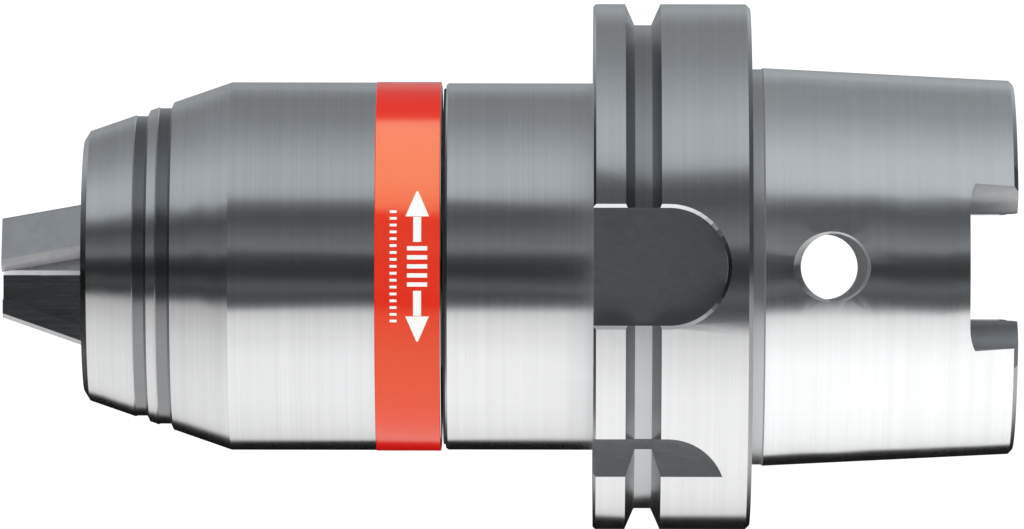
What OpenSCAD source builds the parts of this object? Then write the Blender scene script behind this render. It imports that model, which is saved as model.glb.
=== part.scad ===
// Keyless drill chuck made in one piece with a hollow 1:10 taper shank, size 100.
// Millimetres. The chuck lies along X, with the jaws towards -X and the shank towards +X.
// The origin is on the axis, in the plane of the flange face that seats on the machine spindle.

/* [Shank] */
// Length of the taper shank behind the flange face
shank_len = 50; // [48:0.5:52]
// Diameter of the taper 10 mm behind the flange face
taper_d = 75; // [74.5:0.1:75.5]
// Diameter of the entrance bore of the hollow shank
entrance_d = 53; // [52:0.5:54]
// Diameter of the undercut behind the clamping shoulder
undercut_d = 63; // [62:0.5:64]
// Diameter of the two clamping access holes
access_d = 12.5; // [11:0.5:13]
// Width of the two drive slots in the shank end
drive_slot_w = 20.02; // [18:0.01:21]
// Depth of the drive slots from the shank end
drive_slot_depth = 9.1; // [8:0.1:10]

/* [Flange] */
// Diameter of the flange
flange_d = 100; // [99:0.5:101]
// Width of the flange along the axis
flange_w = 29.8; // [29:0.1:31]
// Distance of the gripper groove centre from the flange face
groove_x = 20.4; // [19.5:0.1:21]
// Diameter of the flat bottom of the gripper groove
groove_d = 92; // [90:0.5:94]
// Width of the keyway on the front side
wide_keyway_w = 22; // [20:0.5:23]
// Width of the keyway on the opposite side
narrow_keyway_w = 20; // [18:0.5:21]

/* [Chuck] */
// Diameter of the turning sleeve
sleeve_d = 70; // [69.8:0.1:70.4]
// Width of the marking band
band_w = 12.4; // [8:0.1:16]
// Number of balls in the thrust bearing
ball_count = 24; // [12:1:28]

/* [Jaws] */
// Slope of the jaws and of the hood's bore against the axis, in degrees
jaw_angle = 19.2; // [19:0.1:19.4]
// Width of each jaw's outer bar
jaw_w = 10.2; // [9:0.1:10.2]
// Radius that the jaws are closed to
grip_r = 0.6; // [0.5:0.1:0.8]

/* [Hidden] */
$fn = 96;
far = 200;
eps = 0.1;

// Colours
steel = [0.66, 0.67, 0.69];
dark_steel = [0.36, 0.37, 0.39];
bearing_steel = [0.75, 0.76, 0.78];
bronze = [0.72, 0.5, 0.24];
black_rubber = [0.06, 0.06, 0.07];
brass = [0.78, 0.62, 0.3];
orange = [0.87, 0.22, 0.08];

// Places along X, from the shank to the jaws
cavity_floor_x = 8.5;
coolant_thread_r = 11.2;
coolant_thread_x = -6;
access_x = 15.3;
access_sink = 1;
shoulder_x = 28.5;
shoulder_angle = 30;
spindle_bore_end_x = -23.5;
barrel_r = 34.9;
barrel_x = -57.7;
seat_r = 20;
neck_r = 17;
neck_x = -75.5;
collar_rear_x = -71.2;
nut_r = 11.5;
nut_rear_x = -60;
stop_bore_r = 10.6;
sleeve_r = sleeve_d / 2;
sleeve_rear_x = -58.5;
sleeve_bore_r = 30.5;
sleeve_step_x = -93;
hood_seat_r = 28.6;
hood_seat_x = -93.5;
cone_x = -98.5;
cone_slope = 0.3457;
groove_2_front_x = -112.1;
groove_2_rear_x = -110;
groove_1_front_x = -116.5;
groove_1_rear_x = -114;
groove_slant = 0.5;
groove_edge = 0.25;
face_edge_x = -125.4;
nose_x = -126.5;
nose_r = 23.9;
tip_x = -142;

// Thrust bearing
ball_r = 1.98;
ball_x = -67.9;
ball_pitch_r = 24.2;
race_groove_r = 2.1;
front_race_x = -69.5;
rear_race_x = -66.3;
ring_nut_front_x = -64.7;
ring_nut_rear_x = -59;
ring_nut_bore_r = 22.3;

// Jaws and what drives them
jaw_count = 3;
tip_outer_r = 9.85;
bar_thick = 3.25;
bar_bevel = 0.75;
bar_rear_x = -106.3;
blade_half = 2.08;
hook_rear_x = -99.9;
hook_front_x = -102.7;
hook_half = 4.1;
hook_r = [4, 11];
head_x = -106;
head_rear_x = -97;
head_r = 18.6;
hook_slot_x = [-103, -99.6];
slot_play = 0.3;
bore_play = 0.72;
guide_r = 8.6;
guide_inner_r = 18.9;
guide_x = -125.3;
guide_step_x = -107.4;
guide_slot_end_x = -84.6;
guide_rear_x = -77.4;
snap_ring_x = -76.2;
snap_groove_r = 31.7;
guide_pin_x = -80.8;
thread_r = 8;
thread_root_r = 7.3;
thread_pitch = 2;
thread_x = -91;
spindle_rear_x = -50;

function taper_r(x) = taper_d / 2 - (x - 10) / 20;
function cone_r(x) = sleeve_r + (x - cone_x) * cone_slope;
function jaw_outer_r(x) = tip_outer_r + (x - tip_x) * tan(jaw_angle);
function hood_bore_r(x) = jaw_outer_r(x) + bore_play;

// A solid of revolution about X from an outline of [x, radius] points
module turned(outline) {
    rotate([0, 90, 0]) rotate_extrude() polygon([for (p = outline) [p[1], p[0]]]);
}

// A ring about X with chamfered outer edges
module ring(x0, x1, r_in, r_out, chamfer = 0.3) {
    turned([[x0, r_in], [x0, r_out - chamfer], [x0 + chamfer, r_out],
            [x1 - chamfer, r_out], [x1, r_out - chamfer], [x1, r_in]]);
}

// A round rod or cutter that stands out from the axis, between two radii, at x
module spoke(x, r0, r1, r) {
    translate([x, 0, r0]) cylinder(h = r1 - r0, r = r);
}

// Copies at equal steps about X; the first one points down
module around(count, first = 180) {
    for (i = [0 : count - 1]) rotate([first + i * 360 / count, 0, 0]) children();
}

// A prism along X from an outline of [y, z] points
module prism_x(x0, x1, outline) {
    translate([x0, 0, 0]) rotate([90, 0, 90]) linear_extrude(x1 - x0) polygon(outline);
}

// A prism across Y from an outline of [x, z] points
module prism_y(y0, y1, outline) {
    translate([0, y1, 0]) rotate([90, 0, 0]) linear_extrude(y1 - y0) polygon(outline);
}

// A round-ended keyway cutter that faces -Y, milled in from the flange's front
module keyway(width, floor_y, end_x, z = 0) {
    r = width / 2;
    translate([end_x - r, floor_y, z]) rotate([90, 0, 0]) cylinder(h = far, r = r);
    translate([-flange_w - far / 4, floor_y - far, z - r]) cube([flange_w + far / 4 + end_x - r, far, width]);
}

// A drive slot cutter on the -Y side of the shank end, its flanks rounded away towards the outside
module drive_slot() {
    half = drive_slot_w / 2;
    floor_x = shank_len - drive_slot_depth;
    flare_r = 8;
    flare_y = -24.6;
    flare_z = 18;
    corner_r = 10;
    corner_z = 11.5;
    translate([floor_x, -far, -half]) cube([far, far - entrance_d / 4, drive_slot_w]);
    for (side = [-1, 1]) intersection() {
        difference() {
            translate([floor_x, -far / 4, side > 0 ? half - eps : -flare_z]) {
                cube([far / 4, far / 4 + flare_y, flare_z - half + eps]);
            }
            translate([0, flare_y, side * (half + flare_r)]) rotate([0, 90, 0]) cylinder(h = far, r = flare_r);
        }
        union() {
            translate([floor_x + corner_r, 0, side * corner_z]) rotate([90, 0, 0]) cylinder(h = far, r = corner_r);
            translate([floor_x + corner_r, -far, -flare_z]) cube([far, far, 2 * flare_z]);
            translate([floor_x, -far, -corner_z]) cube([far, far, 2 * corner_z]);
        }
    }
}

// A cutter that breaks the outer edge of a keyway with a chamfer that follows the flange's round surface.
// Its section is a triangle, swept along the keyway's straight sides and round end.
module keyway_chamfer(width, end_x, chamfer) {
    r = width / 2;
    end_steps = 24;
    inside = 0.1;
    over = 0.4;
    section = [[-over, over], [-inside, -chamfer - inside], [chamfer + over, over]];
    path = concat([[-flange_w - 2, r, 90]],
                  [for (i = [0 : end_steps]) [end_x - r, r, 90 - 180 * i / end_steps]],
                  [[-flange_w - 2, r, -90]]);
    count = len(path);
    points = [for (p = path, q = section)
        let (x = p[0] + (p[1] + q[0]) * cos(p[2]), z = (p[1] + q[0]) * sin(p[2]))
        [x, -sqrt(pow(flange_d / 2, 2) - z * z) - q[1], z]];
    faces = concat([[0, 1, 2], [3 * count - 1, 3 * count - 2, 3 * count - 3]],
        [for (i = [0 : count - 2], k = [0 : 2])
            let (a = 3 * i + k, b = 3 * i + (k + 1) % 3) each [[a, a + 3, b + 3], [a, b + 3, b]]]);
    polyhedron(points, faces);
}

module holder_turning() {
    flange_r = flange_d / 2;
    edge = 0.8;
    front_edge = 0.5;
    groove_r = groove_d / 2;
    groove_bottom = 1.6;
    groove_top = 3.35;
    relief_w = 2.2;
    relief_r = 37.65;
    entrance_r = entrance_d / 2;
    undercut_r = undercut_d / 2;
    shoulder_len = (undercut_r - entrance_r) / tan(shoulder_angle);
    turned([
        [neck_x, nut_r], [neck_x, neck_r - 0.5], [neck_x + 0.5, neck_r], [collar_rear_x, neck_r],
        [collar_rear_x, seat_r - 0.3], [collar_rear_x + 0.3, seat_r], [barrel_x, seat_r],
        [barrel_x, barrel_r - 0.4], [barrel_x + 0.4, barrel_r], [-flange_w, barrel_r],
        [-flange_w, flange_r - front_edge], [-flange_w + front_edge, flange_r],
        [-groove_x - groove_top, flange_r], [-groove_x - groove_bottom, groove_r],
        [-groove_x + groove_bottom, groove_r], [-groove_x + groove_top, flange_r],
        [-edge, flange_r], [0, flange_r - edge], [0, relief_r], [relief_w, relief_r],
        [relief_w + 0.3, taper_r(relief_w + 0.3)],
        [shank_len - edge, taper_r(shank_len - edge)], [shank_len, taper_r(shank_len) - edge],
        [shank_len, entrance_r + 1.5], [shank_len - 1.5, entrance_r], [shoulder_x, entrance_r],
        [shoulder_x - shoulder_len, undercut_r], [cavity_floor_x + 1.5, undercut_r],
        [cavity_floor_x, undercut_r - 1.5], [cavity_floor_x, coolant_thread_r + 0.8],
        [cavity_floor_x - 0.8, coolant_thread_r], [coolant_thread_x, coolant_thread_r],
        [coolant_thread_x - 4, 0], [spindle_bore_end_x + 3, 0], [spindle_bore_end_x, stop_bore_r],
        [nut_rear_x, stop_bore_r], [nut_rear_x, nut_r]
    ]);
}

module holder_body() color(steel) difference() {
    keyway_floor = 44;
    edge_break = 0.7;
    keyway_end_x = -4.7;
    notch_floor_y = -30.7;
    notch_end_x = -4.8;
    notch_z = -43.3;
    holder_turning();
    keyway(wide_keyway_w, -keyway_floor, keyway_end_x);
    keyway_chamfer(wide_keyway_w, keyway_end_x, edge_break);
    rotate([180, 0, 0]) {
        keyway(narrow_keyway_w, -keyway_floor, keyway_end_x);
        keyway_chamfer(narrow_keyway_w, keyway_end_x, edge_break);
    }
    intersection() {
        keyway(wide_keyway_w, notch_floor_y, notch_end_x, notch_z);
        translate([-far / 2, -far, -far]) cube([far, far, far]);
    }
    drive_slot();
    rotate([180, 0, 0]) drive_slot();
    around(2, 90) {
        spoke(access_x, undercut_d / 4, far / 2, access_d / 2);
        translate([access_x, 0, taper_r(access_x) - access_sink]) {
            cylinder(h = 2, r1 = access_d / 2, r2 = access_d / 2 + 2);
        }
    }
    around(jaw_count, 0) spoke((neck_x + collar_rear_x) / 2, nut_r - 1, neck_r + 1, 1.5);
}

module gap_seal() color(black_rubber) ring(barrel_x - 0.45, barrel_x, 23, 33.9, 0.15);

module spindle_nut() color(bronze) ring(neck_x + 0.3, nut_rear_x, thread_r + 0.06, nut_r - 0.02);

// A grub screw with a hexagon socket, standing out from the axis
module grub_screw(x, r0, r1, r) {
    difference() {
        spoke(x, r0, r1, r);
        translate([x, 0, r1 - 1.5]) cylinder(h = 2, r = r * 0.55, $fn = 6);
    }
}

module nut_lock_screws() color(dark_steel) {
    around(jaw_count, 0) grub_screw((neck_x + collar_rear_x) / 2, nut_r + 0.05, neck_r - 0.3, 1.48);
}

module thrust_collar() color(steel) difference() {
    ring(neck_x, collar_rear_x, neck_r + 0.02, 28.5, 0.5);
    around(jaw_count) spoke((neck_x + collar_rear_x) / 2, neck_r - 1, 30, 1.5);
}

module collar_lock_screws() color(dark_steel) {
    around(jaw_count) grub_screw((neck_x + collar_rear_x) / 2, neck_r + 0.05, 24, 1.48);
}

// The ball track that is cut into a race
module ball_track() {
    rotate([0, 90, 0]) translate([0, 0, ball_x]) rotate_extrude() translate([ball_pitch_r, 0]) circle(race_groove_r);
}

module front_race() color(bearing_steel) difference() {
    ring(collar_rear_x, front_race_x, seat_r + 0.03, 28.4);
    ball_track();
}

module rear_race() color(bearing_steel) difference() {
    ring(rear_race_x, ring_nut_front_x, seat_r + 0.4, sleeve_bore_r - 0.1);
    ball_track();
}

module ball_cage() color(brass) difference() {
    cage_half = 0.7;
    ring(ball_x - cage_half, ball_x + cage_half, seat_r + 0.6, 28);
    around(ball_count) translate([ball_x - 2, 0, ball_pitch_r]) rotate([0, 90, 0]) cylinder(h = 4, r = ball_r + 0.1);
}

module bearing_balls() color(bearing_steel) {
    around(ball_count) translate([ball_x, 0, ball_pitch_r]) sphere(ball_r);
}

module ring_nut() color(steel) ring(ring_nut_front_x, ring_nut_rear_x, ring_nut_bore_r, sleeve_bore_r - 0.02);

module guide_bush() color(bronze) {
    ring(ring_nut_front_x + 0.1, ring_nut_rear_x - 0.1, seat_r + 0.05, ring_nut_bore_r - 0.02);
}

module clamping_sleeve() color(steel) difference() {
    band_seat_r = sleeve_r - 0.6;
    turned([
        [groove_2_rear_x, hood_seat_r], [groove_2_rear_x, cone_r(groove_2_front_x) - groove_edge],
        [groove_2_rear_x + groove_slant, cone_r(groove_2_rear_x + groove_slant)], [cone_x, sleeve_r],
        [sleeve_rear_x - band_w, sleeve_r], [sleeve_rear_x - band_w, band_seat_r], [sleeve_rear_x, band_seat_r],
        [sleeve_rear_x, sleeve_bore_r], [snap_ring_x, sleeve_bore_r], [snap_ring_x, snap_groove_r],
        [guide_rear_x, snap_groove_r], [guide_rear_x, sleeve_bore_r], [sleeve_step_x, sleeve_bore_r],
        [sleeve_step_x, hood_seat_r]
    ]);
    around(jaw_count, 0) spoke(guide_pin_x, sleeve_bore_r - 1, 33.6, 1.5);
}

module marking_band() color(orange) {
    ring(sleeve_rear_x - band_w, sleeve_rear_x - 0.1, sleeve_r - 0.6, sleeve_r + 0.12, 0.12);
}

module nose_hood() color(steel) difference() {
    step_1_r = cone_r(groove_1_front_x) - groove_edge;
    step_2_r = cone_r(groove_2_front_x) - groove_edge;
    turned([
        [nose_x, hood_bore_r(nose_x) + 0.8], [nose_x, nose_r], [face_edge_x, cone_r(face_edge_x)],
        [groove_1_front_x - groove_edge, cone_r(groove_1_front_x - groove_edge)],
        [groove_1_front_x, step_1_r], [groove_1_rear_x - groove_slant, step_1_r],
        [groove_1_rear_x, cone_r(groove_1_rear_x)],
        [groove_2_front_x - groove_edge, cone_r(groove_2_front_x - groove_edge)],
        [groove_2_front_x, step_2_r], [groove_2_rear_x, step_2_r],
        [groove_2_rear_x, hood_seat_r - 0.02], [hood_seat_x, hood_seat_r - 0.02],
        [hood_seat_x, hood_bore_r(hood_seat_x)], [nose_x + 0.8, hood_bore_r(nose_x + 0.8)]
    ]);
    ring(-107.6, -106, 27.2, hood_seat_r + 1, 0.1);
}

module hood_seal_ring() color(black_rubber) ring(-107.5, -106.1, 27.22, hood_seat_r - 0.03, 0.4);

module jaw_guide() color(dark_steel) difference() {
    gap = 0.1;
    slot_half = jaw_w / 2 + slot_play;
    rear_r = sleeve_bore_r - gap;
    rear_cone_x = tip_x + (rear_r + gap - bore_play - tip_outer_r) / tan(jaw_angle);
    turned([
        [guide_x, guide_r + 0.6], [guide_x, hood_bore_r(guide_x) - gap], [rear_cone_x, rear_r],
        [guide_rear_x, rear_r], [guide_rear_x, guide_inner_r], [guide_step_x, guide_inner_r],
        [guide_step_x, guide_r], [guide_x + 0.6, guide_r]
    ]);
    around(jaw_count) translate([guide_x - 1, -slot_half, 0]) cube([guide_slot_end_x - guide_x + 1, 2 * slot_half, far]);
    around(jaw_count, 0) spoke(guide_pin_x, 25.4, 32, 1.5);
}

module guide_pins() color(bearing_steel) {
    around(jaw_count, 0) spoke(guide_pin_x, 25.45, 33.5, 1.48);
}

module guide_retaining_ring() color(dark_steel) difference() {
    ring(guide_rear_x + 0.03, snap_ring_x - 0.03, 27.5, snap_groove_r - 0.1, 0.1);
    translate([guide_rear_x - 1, -4, 0]) cube([4, 8, far]);
}

module clamping_spindle() color(steel) difference() {
    ridges = floor((spindle_rear_x - thread_x) / thread_pitch);
    union() {
        turned([[head_x, 0], [head_x, head_r - 0.5], [head_x + 0.5, head_r], [head_rear_x - 0.5, head_r],
                [head_rear_x, head_r - 0.5], [head_rear_x, thread_root_r + 1], [head_rear_x + 1, thread_root_r],
                [thread_x, thread_root_r], [thread_x, 0]]);
        turned(concat([[thread_x, 0]],
            [for (i = [0 : ridges - 1], p = [[0, thread_root_r], [0.8, thread_r], [1.2, thread_r]])
                [thread_x + i * thread_pitch + p[0], p[1]]],
            [[spindle_rear_x, thread_root_r], [spindle_rear_x, 0]]));
    }
    around(jaw_count) {
        translate([head_x - 1, -blade_half - slot_play, 0]) cube([hook_slot_x[0] - head_x + 2, 2 * (blade_half + slot_play), far]);
        translate([hook_slot_x[0], -hook_half - slot_play, 0]) cube([hook_slot_x[1] - hook_slot_x[0], 2 * (hook_half + slot_play), far]);
    }
    translate([spindle_rear_x - 10, 0, 0]) rotate([0, 90, 0]) cylinder(h = 11, r = 2.5);
}

module stop_washer() color(dark_steel) ring(spindle_rear_x, spindle_rear_x + 2, 2.6, stop_bore_r - 0.4);

module stop_screw() color(dark_steel) difference() {
    head_end_x = spindle_rear_x + 5;
    turned([[spindle_rear_x - 8, 0], [spindle_rear_x - 8, 2.1], [spindle_rear_x - 7.6, 2.48],
            [spindle_rear_x + 2, 2.48], [spindle_rear_x + 2, 4.5], [head_end_x - 0.4, 4.5],
            [head_end_x, 4.1], [head_end_x, 0]]);
    translate([head_end_x - 2, 0, 0]) rotate([0, 90, 0]) cylinder(h = 3, r = 2.2, $fn = 6);
}

// One jaw, pointing up: a bevelled bar along the hood's slope and a V-edged blade along the axis
module jaw() {
    half = jaw_w / 2;
    blade_top = 1.6;
    v_rise = blade_half / tan(60);
    intersection() {
        translate([tip_x, 0, tip_outer_r]) rotate([0, -jaw_angle, 0]) prism_x(-10, 50, [
            [-half, -bar_thick], [half, -bar_thick], [half, -bar_bevel],
            [half - bar_bevel, 0], [bar_bevel - half, 0], [-half, -bar_bevel]
        ]);
        translate([tip_x, -far / 2, 0]) cube([bar_rear_x - tip_x, far, far]);
    }
    intersection() {
        prism_y(-half, half, [
            [tip_x, 0], [tip_x, tip_outer_r - blade_top], [bar_rear_x, jaw_outer_r(bar_rear_x) - blade_top],
            [bar_rear_x, hook_r[1]], [hook_rear_x, hook_r[1]], [hook_rear_x, 0]
        ]);
        prism_x(tip_x, hook_rear_x, [
            [0, grip_r], [blade_half, grip_r + v_rise], [blade_half, far],
            [-blade_half, far], [-blade_half, grip_r + v_rise]
        ]);
    }
    translate([hook_front_x, -hook_half, hook_r[0]]) {
        cube([hook_rear_x - hook_front_x, 2 * hook_half, hook_r[1] - hook_r[0]]);
    }
}

module jaw_1() color(dark_steel) rotate([180, 0, 0]) jaw();

module jaw_2() color(dark_steel) rotate([60, 0, 0]) jaw();

module jaw_3() color(dark_steel) rotate([-60, 0, 0]) jaw();

holder_body();
gap_seal();
spindle_nut();
nut_lock_screws();
thrust_collar();
collar_lock_screws();
front_race();
ball_cage();
bearing_balls();
rear_race();
ring_nut();
guide_bush();
clamping_sleeve();
marking_band();
nose_hood();
hood_seal_ring();
jaw_guide();
guide_pins();
guide_retaining_ring();
clamping_spindle();
stop_washer();
stop_screw();
jaw_1();
jaw_2();
jaw_3();
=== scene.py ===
"""Keyless drill chuck on a hollow taper shank: camera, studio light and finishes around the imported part."""

import math

import bmesh
import bpy
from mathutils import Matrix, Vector


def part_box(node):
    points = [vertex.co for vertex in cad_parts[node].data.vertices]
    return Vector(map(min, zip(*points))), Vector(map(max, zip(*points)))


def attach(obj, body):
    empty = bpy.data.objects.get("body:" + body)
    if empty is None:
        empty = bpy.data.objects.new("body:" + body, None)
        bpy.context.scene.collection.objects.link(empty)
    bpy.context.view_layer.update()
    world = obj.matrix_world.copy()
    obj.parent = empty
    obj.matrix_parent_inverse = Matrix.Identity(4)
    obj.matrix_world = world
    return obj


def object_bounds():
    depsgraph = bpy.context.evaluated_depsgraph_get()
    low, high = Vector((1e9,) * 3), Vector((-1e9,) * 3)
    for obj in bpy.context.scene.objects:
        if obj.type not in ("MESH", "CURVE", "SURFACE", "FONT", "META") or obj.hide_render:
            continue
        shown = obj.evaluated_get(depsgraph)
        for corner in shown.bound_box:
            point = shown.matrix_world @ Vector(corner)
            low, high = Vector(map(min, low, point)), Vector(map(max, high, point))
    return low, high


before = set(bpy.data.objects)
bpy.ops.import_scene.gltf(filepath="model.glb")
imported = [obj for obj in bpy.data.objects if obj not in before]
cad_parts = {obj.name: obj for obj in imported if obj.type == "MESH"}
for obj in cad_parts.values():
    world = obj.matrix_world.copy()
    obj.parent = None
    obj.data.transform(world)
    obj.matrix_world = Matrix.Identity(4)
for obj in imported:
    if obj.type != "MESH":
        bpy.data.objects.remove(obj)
cad_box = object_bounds()

MM = 0.001
JAWS = ("jaw_1", "jaw_2", "jaw_3")
scene = bpy.context.scene


# ---------------------------------------------------------------- camera
IMAGE_W = 1024
SENSOR = 36.0
PIXELS_PER_MM = 5.25
CAMERA_DISTANCE = 2.2
CAMERA_X = -36 * MM
CAMERA_Z = 0.38 * MM
CAMERA_ROLL = -0.1
AIM_X = -45.2 * MM


def make_camera():
    """A long lens, almost square to the chuck's axis, so that the chuck fills the frame."""
    data = bpy.data.cameras.new("camera")
    data.sensor_width = SENSOR
    data.lens = SENSOR * PIXELS_PER_MM * CAMERA_DISTANCE / MM / IMAGE_W
    data.clip_start = 0.05
    data.clip_end = 100
    camera = bpy.data.objects.new("camera", data)
    camera.location = (CAMERA_X, -CAMERA_DISTANCE, CAMERA_Z)
    yaw = math.atan2(CAMERA_X - AIM_X, CAMERA_DISTANCE)
    camera.rotation_euler = (math.radians(90), math.radians(CAMERA_ROLL), yaw)
    scene.collection.objects.link(camera)
    scene.camera = camera


# ---------------------------------------------------------------- studio
# The studio round the chuck's axis: degrees from the front horizon over the top, and a screen grey, 0 to 255
STUDIO = [
    (-180, 10), (-143.6, 14), (-141.4, 205), (-118, 224), (-90, 234), (-60, 234), (-41, 218), (-28.8, 204),
    (-26, 96), (-24, 66), (-19, 54), (-13, 92), (-8.5, 60), (-4, 44), (3, 50), (7, 64), (10, 110), (22, 86),
    (30, 68), (35, 72), (40, 96), (42.2, 112), (44, 150), (52, 159), (68, 157), (89, 137), (104, 121),
    (131, 113), (143, 126), (150, 140), (180, 120),
]
# How much of that light is left towards the jaws' end (-1) and the shank's end (+1), above and below
ENDS_ABOVE = [
    (-1, 0.01), (-0.83, 0.03), (-0.74, 0.8), (-0.6, 1.45), (-0.4, 1.2), (-0.2, 1), (0.02, 1), (0.14, 1.3),
    (0.3, 1.3), (0.6, 0.8), (0.85, 0.2), (1, 0.2),
]
ENDS_BELOW = [
    (-1, 0.01), (-0.83, 0.03), (-0.74, 0.6), (-0.5, 0.85), (-0.3, 1), (0.3, 1), (0.6, 0.8), (0.85, 0.5),
    (1, 0.4),
]
# Half the height over which the ends' light changes from below to above
HORIZON = 0.1
# How bright the sleeve's steel is, which shows the greys above
REFERENCE_TINT = 0.62
# The studio is a cool grey up to this grey, and a warm white above it
COOL_UP_TO = 190
COOL = (0.945, 1, 1.04)
WARM = (1.01, 1, 0.995)
BACKDROP = 1.1


def linear(grey):
    """Scene brightness of a screen grey from 0 to 255."""
    c = grey / 255
    return c / 12.92 if c <= 0.04045 else ((c + 0.055) / 1.055) ** 2.4


def studio_color(grey):
    """Light from a studio panel that shows as this grey in the sleeve's steel."""
    tint = WARM if grey > COOL_UP_TO else COOL
    return (*[linear(grey) / REFERENCE_TINT * t for t in tint], 1)


def node(tree, kind, **settings):
    """A new shader node with some of its settings."""
    made = tree.nodes.new("ShaderNode" + kind)
    for key, value in settings.items():
        setattr(made, key, value)
    return made


def math_node(tree, operation, a, b=None):
    """A Math node whose inputs are numbers or sockets."""
    made = node(tree, "Math", operation=operation)
    for socket, value in zip(made.inputs, (a, b)):
        if value is None:
            continue
        if isinstance(value, (int, float)):
            socket.default_value = value
        else:
            tree.links.new(value, socket)
    return made.outputs[0]


def map_range(tree, value, from_low, from_high, to_low=0, to_high=1):
    """Maps a socket's value from one range to another."""
    made = node(tree, "MapRange")
    made.inputs["From Min"].default_value = from_low
    made.inputs["From Max"].default_value = from_high
    made.inputs["To Min"].default_value = to_low
    made.inputs["To Max"].default_value = to_high
    tree.links.new(value, made.inputs["Value"])
    return made.outputs["Result"]


def ramp_over(tree, value, low, high, stops):
    """A colour ramp over a range, from (place, colour) stops."""
    ramp = node(tree, "ValToRGB")
    elements = ramp.color_ramp.elements
    elements.remove(elements[1])
    for i, (at, color) in enumerate(stops):
        position = (at - low) / (high - low)
        element = elements[0] if i == 0 else elements.new(position)
        element.position = position
        element.color = color
    tree.links.new(map_range(tree, value, low, high), ramp.inputs["Fac"])
    return ramp.outputs["Color"]


def make_studio():
    """A studio of long soft panels along the chuck, which the camera sees as plain white."""
    world = bpy.data.worlds.new("studio")
    scene.world = world
    world.use_nodes = True
    tree = world.node_tree
    tree.nodes.clear()
    link = tree.links.new
    split = node(tree, "SeparateXYZ")
    link(node(tree, "TexCoord").outputs["Generated"], split.inputs[0])
    front = math_node(tree, "MULTIPLY", split.outputs["Y"], -1)
    angle = math_node(tree, "ARCTAN2", split.outputs["Z"], front)
    degrees = math_node(tree, "MULTIPLY", angle, 180 / math.pi)
    around = ramp_over(tree, degrees, -180, 180, [(at, studio_color(grey)) for at, grey in STUDIO])
    above = ramp_over(tree, split.outputs["X"], -1, 1, [(at, (v, v, v, 1)) for at, v in ENDS_ABOVE])
    below = ramp_over(tree, split.outputs["X"], -1, 1, [(at, (v, v, v, 1)) for at, v in ENDS_BELOW])
    along = node(tree, "Mix", data_type="RGBA")
    link(map_range(tree, split.outputs["Z"], -HORIZON, HORIZON), along.inputs["Factor"])
    link(below, along.inputs[6])
    link(above, along.inputs[7])
    light = node(tree, "Background")
    link(around, light.inputs["Color"])
    link(along.outputs[2], light.inputs["Strength"])
    white = node(tree, "Background")
    white.inputs["Color"].default_value = (1, 1, 1, 1)
    white.inputs["Strength"].default_value = BACKDROP
    mix = node(tree, "MixShader")
    link(node(tree, "LightPath").outputs["Is Camera Ray"], mix.inputs["Fac"])
    link(light.outputs[0], mix.inputs[1])
    link(white.outputs[0], mix.inputs[2])
    link(mix.outputs[0], node(tree, "OutputWorld").inputs["Surface"])


# Soft suns that light enamel, rubber, print and dull faces, but don't show in polished metal:
# strength, and the direction that each stands in
SUNS = [
    (1.42, (0, -1, 0.1)),
    (1.3, (0, -0.3, 1)),
    (0.5, (0, -0.3, -1)),
    (1.8, (-1, 0, 0.2)),
    (1.5, (1, 0, 0.2)),
]
SUN_WIDTH = 60
# Soft lights for a few pieces only: strength, degrees above the front horizon, width in degrees, shine or not
BAND_LIGHT = (2.8, 69, 70, True)
JAW_LIGHT = (2, 0, 40, False)


def make_sun(name, strength, width):
    """A sun that is this many degrees wide."""
    data = bpy.data.lights.new(name, "SUN")
    data.energy = strength
    data.angle = math.radians(width)
    sun = bpy.data.objects.new(name, data)
    scene.collection.objects.link(sun)
    return sun


def make_suns():
    for i, (strength, place) in enumerate(SUNS):
        sun = make_sun(f"soft_sun_{i}", strength, SUN_WIDTH)
        sun.rotation_euler = Vector(place).to_track_quat("Z", "Y").to_euler()
        sun.visible_glossy = False


def make_light_for(names, strength, height, width, shine):
    """A soft light that reaches only some pieces, and either only their shine or only their colour."""
    light = make_sun("light_for_" + names[0], strength, width)
    light.rotation_euler = (math.radians(90 - height), 0, 0)
    light.visible_diffuse = not shine
    light.visible_glossy = shine
    reached = bpy.data.collections.new(light.name)
    for name in names:
        reached.objects.link(bpy.data.objects[name])
    light.light_linking.receiver_collection = reached


FLOOR_SIZE = 6
FLOOR_GAP = 0.5 * MM
FLOOR_SHADE = 0.75
FLOOR_SHADE_REACH = 14 * MM


def make_floor():
    """A plain pale floor just under the flange that glows evenly, a little darker where the chuck is close: a
    painted contact shadow.
    """
    low, high = cad_box
    bpy.ops.mesh.primitive_plane_add(size=FLOOR_SIZE, location=(0, 0, low.z - FLOOR_GAP))
    floor = bpy.context.object
    floor.name = "floor"
    material, tree, shader = new_material("pale_floor")
    tree.nodes.remove(shader)
    # Painted contact shadow: ambient occlusion dims the floor's glow near the chuck
    near = node(tree, "AmbientOcclusion")
    near.inputs["Distance"].default_value = FLOOR_SHADE_REACH
    brightness = map_range(tree, near.outputs["AO"], 0, 1, FLOOR_SHADE, BACKDROP)
    glow = node(tree, "Emission")
    tree.links.new(brightness, glow.inputs["Strength"])
    tree.links.new(glow.outputs[0], tree.nodes["Material Output"].inputs["Surface"])
    floor.data.materials.append(material)
    floor.visible_glossy = False
    floor.visible_diffuse = False
    floor.visible_shadow = False


# ---------------------------------------------------------------- kinds of material
# How often noise changes along X, Y and Z, per metre
MILLED = (500, 4000, 4000)
GROUND = (60, 5000, 5000)
BLASTED = (900, 900, 900)
CLOUDS = (260, 260, 260)
SPECKS = (2500, 2500, 2500)
# The same along the axis, away from it, and round it
BROAD_RINGS = (520, 520, 6)
FINE_RINGS_ROUND = 12
# Noise is mostly in this range
NOISE_RANGE = (0.3, 0.7)
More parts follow.
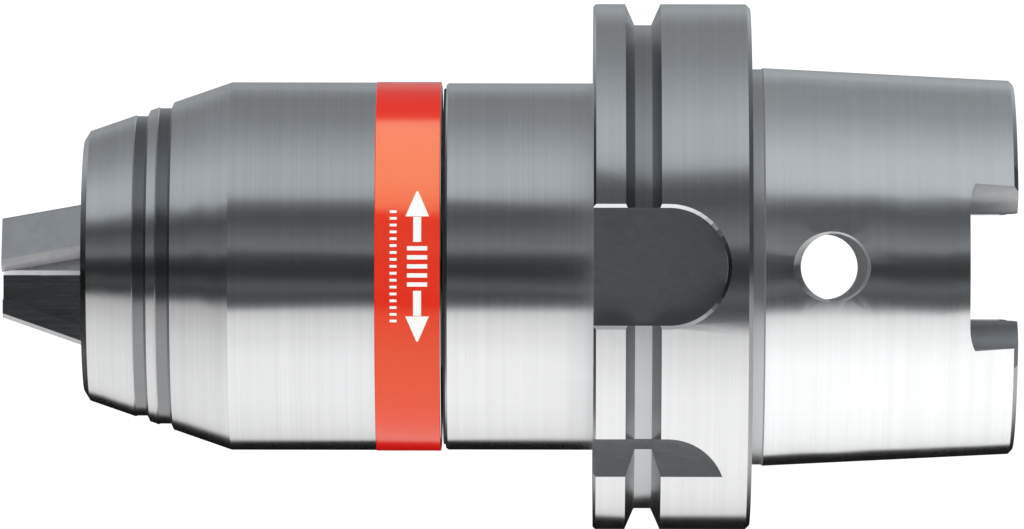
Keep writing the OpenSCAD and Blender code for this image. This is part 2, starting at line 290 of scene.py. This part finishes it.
# How much smoother and rougher the lines make a metal
TURNED_ROUGHNESS = (0.9, 1.1)
GROUND_ROUGHNESS = (0.85, 1.2)
TURNED_DEPTH = 0.003 * MM
GROUND_DEPTH = 0.004 * MM
# Lays the stretched shine across lines that run round the chuck
QUARTER_TURN = 0.25


def new_material(name):
    material = bpy.data.materials.new(name)
    material.use_nodes = True
    tree = material.node_tree
    return material, tree, tree.nodes["Principled BSDF"]


def noise(tree, place, scale, detail):
    """Noise over a place, stretched by a scale for each axis."""
    mapping = node(tree, "Mapping")
    mapping.inputs["Scale"].default_value = scale
    made = node(tree, "TexNoise")
    made.inputs["Scale"].default_value = 1
    made.inputs["Detail"].default_value = detail
    made.inputs["Roughness"].default_value = 0.6
    tree.links.new(place, mapping.inputs["Vector"])
    tree.links.new(mapping.outputs["Vector"], made.inputs["Vector"])
    return made.outputs["Fac"]


def object_coords(tree):
    return node(tree, "TexCoord").outputs["Object"]


def turning_coords(tree):
    """Place along the chuck's axis, distance from it, and the height, which changes slowly round it."""
    split = node(tree, "SeparateXYZ")
    tree.links.new(object_coords(tree), split.inputs[0])
    y, z = split.outputs["Y"], split.outputs["Z"]
    squares = math_node(tree, "ADD", math_node(tree, "MULTIPLY", y, y), math_node(tree, "MULTIPLY", z, z))
    joined = node(tree, "CombineXYZ")
    tree.links.new(split.outputs["X"], joined.inputs[0])
    tree.links.new(math_node(tree, "SQRT", squares), joined.inputs[1])
    tree.links.new(z, joined.inputs[2])
    return joined.outputs[0]


def average(tree, a, b):
    return math_node(tree, "MULTIPLY", math_node(tree, "ADD", a, b), 0.5)


def paint(tree, shader, grain, color, contrast):
    """A base colour that the grain makes a little darker and lighter."""
    tint = node(tree, "Mix", data_type="RGBA")
    tint.inputs[6].default_value = (*[c * (1 - contrast) for c in color], 1)
    tint.inputs[7].default_value = (*[min(c * (1 + contrast), 1) for c in color], 1)
    tree.links.new(map_range(tree, grain, *NOISE_RANGE), tint.inputs["Factor"])
    tree.links.new(tint.outputs[2], shader.inputs["Base Color"])


def roughen(tree, shader, grain, low, high):
    tree.links.new(map_range(tree, grain, *NOISE_RANGE, low, high), shader.inputs["Roughness"])


def emboss(tree, shader, grain, strength, depth):
    bump = node(tree, "Bump")
    bump.inputs["Strength"].default_value = strength
    bump.inputs["Distance"].default_value = depth
    tree.links.new(grain, bump.inputs["Height"])
    tree.links.new(bump.outputs[0], shader.inputs["Normal"])


def brush_round(tree, shader, anisotropy):
    """Stretches the shine as fine lines round the chuck's axis do."""
    shader.inputs["Anisotropic"].default_value = anisotropy
    shader.inputs["Anisotropic Rotation"].default_value = QUARTER_TURN
    radial = node(tree, "Tangent", direction_type="RADIAL", axis="X")
    tree.links.new(radial.outputs[0], shader.inputs["Tangent"])


def turned_metal(name, color, roughness, lines, pitch=0.22, anisotropy=0.9, contrast=0.08):
    """Metal with fine lines round the chuck's axis, about one pitch in mm apart."""
    material, tree, shader = new_material(name)
    shader.inputs["Metallic"].default_value = 1
    brush_round(tree, shader, anisotropy)
    place = turning_coords(tree)
    per_m = 1 / (pitch * MM)
    fine = noise(tree, place, (per_m, per_m, FINE_RINGS_ROUND), detail=3)
    broad = noise(tree, place, BROAD_RINGS, detail=2)
    smooth, rough = TURNED_ROUGHNESS
    paint(tree, shader, average(tree, fine, broad), color, contrast)
    roughen(tree, shader, fine, roughness * smooth, roughness * rough)
    emboss(tree, shader, fine, lines, TURNED_DEPTH)
    return material


def ground_metal(name, color, roughness, marks, lines, contrast=0.1, metallic=1):
    """Metal with straight ground or milled lines, or a blasted grain, by how often its marks change."""
    material, tree, shader = new_material(name)
    shader.inputs["Metallic"].default_value = metallic
    place = object_coords(tree)
    fine = noise(tree, place, marks, detail=4)
    cloud = noise(tree, place, CLOUDS, detail=2)
    smooth, rough = GROUND_ROUGHNESS
    paint(tree, shader, average(tree, fine, cloud), color, contrast)
    roughen(tree, shader, fine, roughness * smooth, roughness * rough)
    emboss(tree, shader, fine, lines, GROUND_DEPTH)
    return material


def speckled(name, color, roughness, speck, ior=1.5):
    """Rubber, print, enamel or a painted highlight on the jaws' edges, with a fine speckle."""
    material, tree, shader = new_material(name)
    grain = noise(tree, object_coords(tree), SPECKS, detail=3)
    paint(tree, shader, grain, color, speck)
    roughen(tree, shader, grain, roughness * (1 - speck), roughness * (1 + speck))
    shader.inputs["IOR"].default_value = ior
    return material


def brushed_enamel(name, color, roughness, gloss_tint):
    """Thin enamel over turned steel, with the steel's stretched shine and a tinted gloss."""
    material = speckled(name, color, roughness, speck=0.04, ior=1.75)
    tree = material.node_tree
    shader = tree.nodes["Principled BSDF"]
    shader.inputs["Specular Tint"].default_value = (*gloss_tint, 1)
    brush_round(tree, shader, anisotropy=0.7)
    return material


def dress(material, *names):
    """Gives CAD nodes a material."""
    for name in names:
        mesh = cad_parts[name].data
        mesh.materials.clear()
        mesh.materials.append(material)


def dress_faces(name, material, chosen):
    """Gives a CAD node's faces another material where chosen(centre in mm, normal) says so."""
    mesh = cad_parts[name].data
    mesh.materials.append(material)
    slot = len(mesh.materials) - 1
    for face in mesh.polygons:
        if chosen(face.center / MM, face.normal):
            face.material_index = slot


def crisp(angle, *names):
    """Shades a CAD node flat across every edge sharper than the angle, and smooth elsewhere."""
    for name in names:
        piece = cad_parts[name]
        split = piece.modifiers.new("crisp", "EDGE_SPLIT")
        split.split_angle = math.radians(angle)
        split.use_edge_sharp = False
        weighted = piece.modifiers.new("even", "WEIGHTED_NORMAL")
        weighted.weight = 100


# ---------------------------------------------------------------- which faces have a finish of their own
# In mm: X from the flange's seating face, Y and Z from the axis, R away from the axis
SEAT_X = 0.01
FLANGE_GROOVE_X = (-24, -16.9)
FLANGE_GROOVE_R = (45.5, 49.9)
RELIEF_X = (0.02, 2.45)
RELIEF_R = (37, 39)
NOSE_GROOVES_X = (-116.5, -110)
NOSE_GROOVES_R = (27.5, 30.2)
POCKETS_X = (-29.75, -4.6)
KEYWAY_FLOOR_Y = 44
KEYWAY_WALLS_R = 43
KEYWAY_HALF_WIDTH = 11.1
NOTCH_FLOOR_Y = -30.7
NOTCH_WALLS_Y = -30.6
NOTCH_WALLS_Z = -32.2
DRIVE_SLOTS_X = (40.5, 49.9)
DRIVE_SLOTS_Y = 22
DRIVE_SLOTS_HALF_WIDTH = 18.5
SHANK_BORE_R = 26.7
TAPER_X = 10
TAPER_R = 37.5
TAPER_SLOPE = 1 / 20
UNDER_TAPER = 0.12
GRIPPING_EDGES_R = 2.4
ON_FLOOR = 0.03


def between(value, limits):
    low, high = limits
    return low < value < high


def radius(place):
    return math.hypot(place.y, place.z)


def ahead_of_seat(place, normal):
    """The flange and the barrel, without the shank."""
    return place.x < SEAT_X


def in_flange_groove(place, normal):
    return between(place.x, FLANGE_GROOVE_X) and between(radius(place), FLANGE_GROOVE_R)


def in_relief(place, normal):
    return between(place.x, RELIEF_X) and between(radius(place), RELIEF_R)


def in_nose_grooves(place, normal):
    """The grooves' floors, without their walls. They are coloured darker: partly a duller finish, partly
    painted shade in the grooves.
    """
    floor = abs(normal.x) < 0.05
    return floor and between(place.x, NOSE_GROOVES_X) and between(radius(place), NOSE_GROOVES_R)


def is_pocket_floor(place, normal):
    """A flat floor milled into the flange from the front or the back."""
    return between(place.x, POCKETS_X) and abs(normal.y) > 0.99


def is_pocket_wall(place, normal):
    """A wall milled into the flange from the front or the back, square to X or Z."""
    square = abs(normal.y) < 0.02 and abs(normal.x) + abs(normal.z) > 0.995
    return between(place.x, POCKETS_X) and square


def in_keyways(place, normal):
    floor = is_pocket_floor(place, normal) and abs(abs(place.y) - KEYWAY_FLOOR_Y) < ON_FLOOR
    at_walls = radius(place) > KEYWAY_WALLS_R and abs(place.z) < KEYWAY_HALF_WIDTH
    return floor or (at_walls and is_pocket_wall(place, normal))


def in_notch(place, normal):
    floor = is_pocket_floor(place, normal) and abs(place.y - NOTCH_FLOOR_Y) < ON_FLOOR
    at_walls = place.z < NOTCH_WALLS_Z and place.y < NOTCH_WALLS_Y
    return floor or (at_walls and is_pocket_wall(place, normal))


def in_drive_slots(place, normal):
    outside = TAPER_R - (place.x - TAPER_X) * TAPER_SLOPE - UNDER_TAPER
    in_shell = between(radius(place), (SHANK_BORE_R, outside))
    in_slots = abs(place.y) > DRIVE_SLOTS_Y and abs(place.z) < DRIVE_SLOTS_HALF_WIDTH
    return between(place.x, DRIVE_SLOTS_X) and in_slots and in_shell


def is_end_face(place, normal):
    """A face square to the axis."""
    return abs(normal.x) > 0.96


# The jaws' gripping edges, which get a bright matte colour as a painted highlight
def on_gripping_edges(place, normal):
    return radius(place) < GRIPPING_EDGES_R


# ---------------------------------------------------------------- printed marks on the band
PRINT_HEIGHT = 0.03 * MM
PRINT_STEP = 0.5 * MM
# In mm: X from the band's middle, places round the band from its front, widths along X
ARROW_X = 1.9
ARROW_HEAD = (9.5, 14.5)
ARROW_HEAD_WIDTHS = (4.4, 0.3)
ARROW_STEM = (4.6, 9.4)
ARROW_STEM_WIDTHS = (1.5, 1.5)
TICKS_X = -2.6
# How many bars stand on each side of the front one, then their pitch, thickness and width
ARROW_BARS = (2, 1.7, 0.8, 3.8)
TICKS = (8, 1.3, 0.5, 1.3)


def make_strip(bm, band_radius, x, places, widths):
    """A raised strip between two places round the band, with a width at each end."""
    start, end = [place * MM for place in places]
    width_start, width_end = [width * MM for width in widths]
    steps = max(1, math.ceil(abs(end - start) / PRINT_STEP))
    rows = []
    for i in range(steps + 1):
        t = i / steps
        turn = (start + (end - start) * t) / band_radius
        half = (width_start + (width_end - width_start) * t) / 2
        corners = [(-half, -PRINT_HEIGHT), (-half, PRINT_HEIGHT), (half, PRINT_HEIGHT), (half, -PRINT_HEIGHT)]
        row = []
        for side, rise in corners:
            r = band_radius + rise
            row.append(bm.verts.new((x + side, -r * math.cos(turn), r * math.sin(turn))))
        rows.append(row)
    for a, b in zip(rows, rows[1:]):
        for k in range(4):
            bm.faces.new((a[k], a[(k + 1) % 4], b[(k + 1) % 4], b[k]))
    bm.faces.new(rows[0])
    bm.faces.new(reversed(rows[-1]))


def make_bars(bm, band_radius, x, each_side, pitch, thickness, width):
    """A row of bars round the front of the band."""
    for i in range(-each_side, each_side + 1):
        places = (i * pitch - thickness / 2, i * pitch + thickness / 2)
        make_strip(bm, band_radius, x, places, (width, width))


def make_band_marks(material):
    """A two-headed turning arrow and a row of ticks, printed round the front of the band."""
    low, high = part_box("marking_band")
    band_radius = high.z
    arrow_x = (low.x + high.x) / 2 + ARROW_X * MM
    ticks_x = (low.x + high.x) / 2 + TICKS_X * MM
    bm = bmesh.new()
    for way in (-1, 1):
        make_strip(bm, band_radius, arrow_x, [way * place for place in ARROW_HEAD], ARROW_HEAD_WIDTHS)
        make_strip(bm, band_radius, arrow_x, [way * place for place in ARROW_STEM], ARROW_STEM_WIDTHS)
    make_bars(bm, band_radius, arrow_x, *ARROW_BARS)
    make_bars(bm, band_radius, ticks_x, *TICKS)
    bmesh.ops.recalc_face_normals(bm, faces=bm.faces)
    mesh = bpy.data.meshes.new("band_marks")
    bm.to_mesh(mesh)
    bm.free()
    mesh.materials.append(material)
    marks = bpy.data.objects.new("band_marks", mesh)
    scene.collection.objects.link(marks)
    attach(marks, "sleeve")


# ---------------------------------------------------------------- the scene
make_camera()
make_studio()
make_suns()
make_floor()

shank_steel = turned_metal("shank_steel", (0.76, 0.775, 0.785), 0.24, lines=0.07, pitch=0.18, contrast=0.05)
flange_steel = turned_metal("flange_steel", (0.65, 0.66, 0.67), 0.24, lines=0.1, pitch=0.2, contrast=0.06)
sleeve_steel = turned_metal("sleeve_steel", (0.62, 0.63, 0.64), 0.24, lines=0.12)
groove_steel = turned_metal("flange_groove_steel", (0.42, 0.43, 0.44), 0.24, lines=0.2, anisotropy=0.6)
relief_steel = turned_metal("relief_steel", (0.62, 0.63, 0.64), 0.42, lines=0.2)
# The nose grooves' floors: darker steel, partly a duller finish and partly painted shade
nose_groove_dull_and_shade = turned_metal("nose_groove_dull_and_painted_shade", (0.22, 0.225, 0.235), 0.3, lines=0.2)
bearing_steel = turned_metal("bearing_steel", (0.7, 0.71, 0.73), 0.2, lines=0.05)
bronze = turned_metal("bronze", (0.6, 0.38, 0.17), 0.32, lines=0.1)
brass = turned_metal("brass", (0.75, 0.57, 0.26), 0.28, lines=0.1)
milled_steel = ground_metal("milled_steel", (0.35, 0.36, 0.37), 0.42, MILLED, lines=0.1, contrast=0.04)
notch_steel = ground_metal("notch_steel", (0.5, 0.51, 0.52), 0.42, MILLED, lines=0.1, contrast=0.04)
jaw_steel = ground_metal("jaw_steel", (0.37, 0.375, 0.385), 0.24, GROUND, lines=0.3, contrast=0.14)
black_steel = ground_metal("black_steel", (0.05, 0.05, 0.055), 0.42, BLASTED, lines=0.1, metallic=0)
faced_steel = ground_metal("faced_steel", (0.5, 0.51, 0.52), 0.35, BLASTED, lines=0.1, contrast=0.05,
                           metallic=0.4)
# Painted highlight: a bright matte colour for the jaws' gripping edges
painted_highlight_steel = speckled("painted_highlight_steel", (0.85, 0.86, 0.87), 0.4, speck=0.03, ior=2.2)
rubber = speckled("black_rubber", (0.018, 0.018, 0.02), 0.6, speck=0.1)
white_print = speckled("white_print", (0.85, 0.85, 0.83), 0.45, speck=0.02)
enamel = brushed_enamel("orange_enamel", (0.72, 0.006, 0.004), 0.23, gloss_tint=(0.5, 0.95, 0.45))

dress(shank_steel, "holder_body")
dress(sleeve_steel, "clamping_sleeve", "nose_hood", "thrust_collar", "ring_nut")
dress(jaw_steel, *JAWS)
dress(black_steel, "jaw_guide", "guide_retaining_ring", "stop_washer", "stop_screw")
dress(black_steel, "nut_lock_screws", "collar_lock_screws")
dress(bearing_steel, "front_race", "rear_race", "bearing_balls", "guide_pins", "clamping_spindle")
dress(bronze, "spindle_nut", "guide_bush")
dress(brass, "ball_cage")
dress(rubber, "gap_seal", "hood_seal_ring")
dress(enamel, "marking_band")

# Where two of these choose the same face, the later one counts
dress_faces("holder_body", flange_steel, ahead_of_seat)
dress_faces("holder_body", groove_steel, in_flange_groove)
dress_faces("holder_body", relief_steel, in_relief)
dress_faces("holder_body", milled_steel, in_keyways)
dress_faces("holder_body", notch_steel, in_notch)
dress_faces("holder_body", milled_steel, in_drive_slots)
dress_faces("nose_hood", nose_groove_dull_and_shade, in_nose_grooves)
for name in ("holder_body", "nose_hood", "clamping_sleeve", *JAWS):
    dress_faces(name, faced_steel, is_end_face)
# The bright matte colour on the jaws' gripping edges is a painted highlight
for name in JAWS:
    dress_faces(name, painted_highlight_steel, on_gripping_edges)

SHARP_DEGREES = 16
crisp(SHARP_DEGREES, "holder_body", "clamping_sleeve", "nose_hood", "marking_band", "jaw_guide", *JAWS)

make_band_marks(white_print)
make_light_for(("marking_band",), *BAND_LIGHT)
make_light_for(JAWS, *JAW_LIGHT)
# The steel next to the band doesn't mirror it
for name in ("marking_band", "band_marks"):
    bpy.data.objects[name].visible_glossy = False

scene.view_settings.view_transform = "Standard"
scene.view_settings.look = "None"
